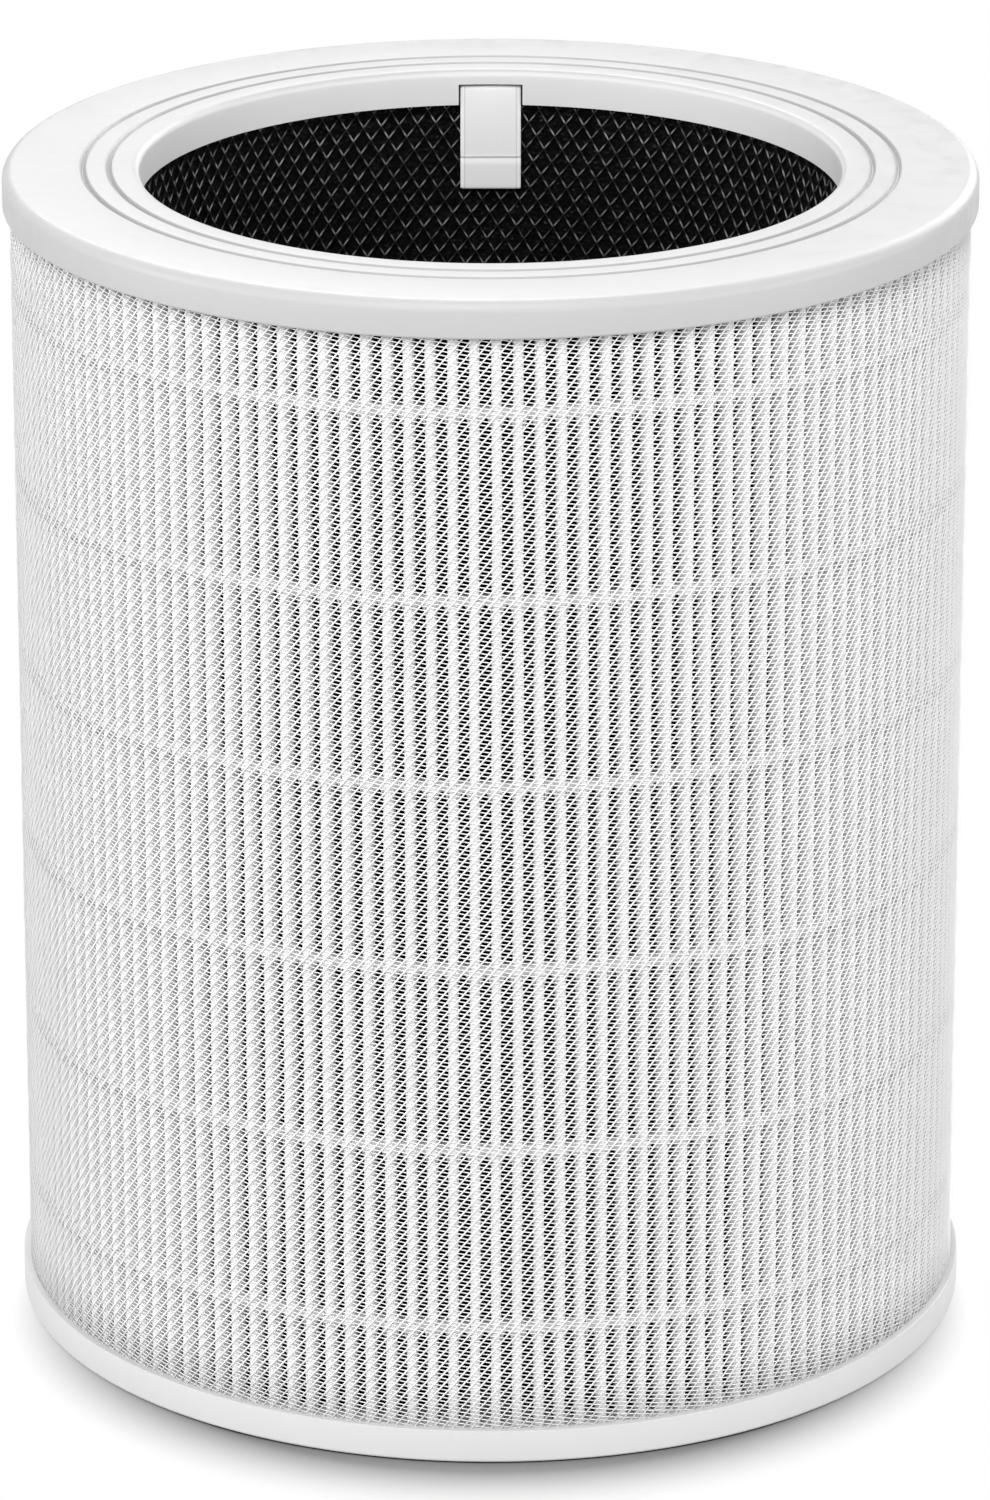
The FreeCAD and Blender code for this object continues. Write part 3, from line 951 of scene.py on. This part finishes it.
def floorPale():
    # the camera, and what would mirror the floor, see a whiter floor than the part does, so that little
    # light comes back up from it
    finish = Finish("studioFloor", studio["floorSpecular"], studio["floorRoughness"])
    path = finish.add("ShaderNodeLightPath").outputs
    mirrored = finish.figure("MAXIMUM", path["Is Glossy Ray"], path["Is Transmission Ray"])
    direct = finish.figure("MAXIMUM", path["Is Camera Ray"], mirrored)
    # with painted shade close to the part, seen by the camera and in mirrors: an occlusion node darkens the
    # colour where the part's form hides the surroundings from the floor
    hidden = finish.add("ShaderNodeAmbientOcclusion", samples=studio["contactSamples"])
    hidden.inputs["Distance"].default_value = studio["contactReach"]
    shade = finish.add("ShaderNodeVectorMath", operation="SCALE")
    shade.inputs[0].default_value = gray(studio["floorSeen"])
    finish.join(finish.figure("POWER", hidden.outputs["AO"], studio["contactDepth"]), shade.inputs["Scale"])
    tone = finish.add("ShaderNodeMix", data_type="RGBA")
    finish.join(direct, tone.inputs["Factor"])
    tone.inputs["A"].default_value = (*gray(studio["floorBounce"]), 1)
    finish.join(shade.outputs["Vector"], tone.inputs["B"])
    finish.paint(tone.outputs["Result"])
    # farther from the part they see plain white, blended in by the distance from a point in front of the
    # part, so that the painted shadow reaches farther towards the camera than to the sides; the white is not
    # laid on the floor inside the part's bore
    # painted shadow: this distance sets its outline
    away = finish.add("ShaderNodeVectorMath", operation="DISTANCE")
    finish.join(finish.coordinates, away.inputs[0])
    away.inputs[1].default_value = studio["paintedShadowCentre"]
    fade = finish.span(away.outputs["Value"], studio["whiteFrom"], studio["whiteTo"], 0, 1)
    outside = finish.figure("GREATER_THAN", finish.radius(), studio["coveredRadius"])
    share = finish.figure("MULTIPLY", fade, finish.figure("MULTIPLY", outside, direct))
    plain = finish.add("ShaderNodeEmission")
    blend = finish.add("ShaderNodeMixShader")
    for socket, output in enumerate((share, finish.shader.outputs[0], plain.outputs[0])):
        finish.join(output, blend.inputs[socket])
    finish.join(blend.outputs[0], finish.tree.nodes["Material Output"].inputs["Surface"])
    return finish.material


def makeFloor():
    half, height = studio["floorSize"] / 2, studio["floorHeight"]
    corners = [(x, y, height) for x, y in ((-half, -half), (half, -half), (half, half), (-half, half))]
    mesh = bpy.data.meshes.new("studioFloor")
    mesh.from_pydata(corners, [], [(0, 1, 2, 3)])
    mesh.materials.append(floorPale())
    floor = bpy.data.objects.new("studioFloor", mesh)
    bpy.context.scene.collection.objects.link(floor)


def makeSky():
    world = bpy.data.worlds.new("softSky")
    bpy.context.scene.world = world
    world.use_nodes = True
    background = world.node_tree.nodes["Background"]
    background.inputs["Color"].default_value = (1, 1, 1, 1)
    background.inputs["Strength"].default_value = studio["skyStrength"]


def makeLamps():
    aim = np.array(studio["aim"], float)
    for values in studio["lamps"]:
        light = bpy.data.lights.new(values["name"], "AREA")
        light.shape = "DISK"
        light.size = studio["lampSize"]
        light.energy = values["power"]
        lamp = bpy.data.objects.new(values["name"], light)
        bpy.context.scene.collection.objects.link(lamp)
        azimuth, elevation = math.radians(values["azimuth"]), math.radians(values["elevation"])
        toward = np.array([math.sin(azimuth) * math.cos(elevation), -math.cos(azimuth) * math.cos(elevation),
                           math.sin(elevation)])
        lamp.location = aim + studio["lampDistance"] * toward
        lamp.rotation_euler = (math.pi / 2 - elevation, 0, azimuth)


# Camera: fitted to the photograph's rim, hole and base ellipses

view = {
    "elevation": 19.917,
    "distance": 2.1923,
    "targetHeight": 0.1535,
    "focalPixels": 8023.6,
    "frameHeight": 1500,
    "sensor": 36,
    "axisPixel": 490.6,
    "frameMiddle": 495,
    "farthest": 100,
}


def makeCamera():
    data = bpy.data.cameras.new("photoCamera")
    data.sensor_width = view["sensor"]
    data.lens = view["focalPixels"] / view["frameHeight"] * view["sensor"]
    data.shift_x = (view["frameMiddle"] - view["axisPixel"]) / view["frameHeight"]
    data.clip_end = view["farthest"]
    camera = bpy.data.objects.new("photoCamera", data)
    bpy.context.scene.collection.objects.link(camera)
    tilt = math.radians(view["elevation"])
    back, up = view["distance"] * math.cos(tilt), view["distance"] * math.sin(tilt)
    camera.location = (0, -back, view["targetHeight"] + up)
    camera.rotation_euler = (math.pi / 2 - tilt, 0, 0)
    bpy.context.scene.camera = camera


makeFloor()
makeSky()
makeLamps()
makeCamera()
bpy.context.scene.view_settings.view_transform = "Standard"
print("studio made")
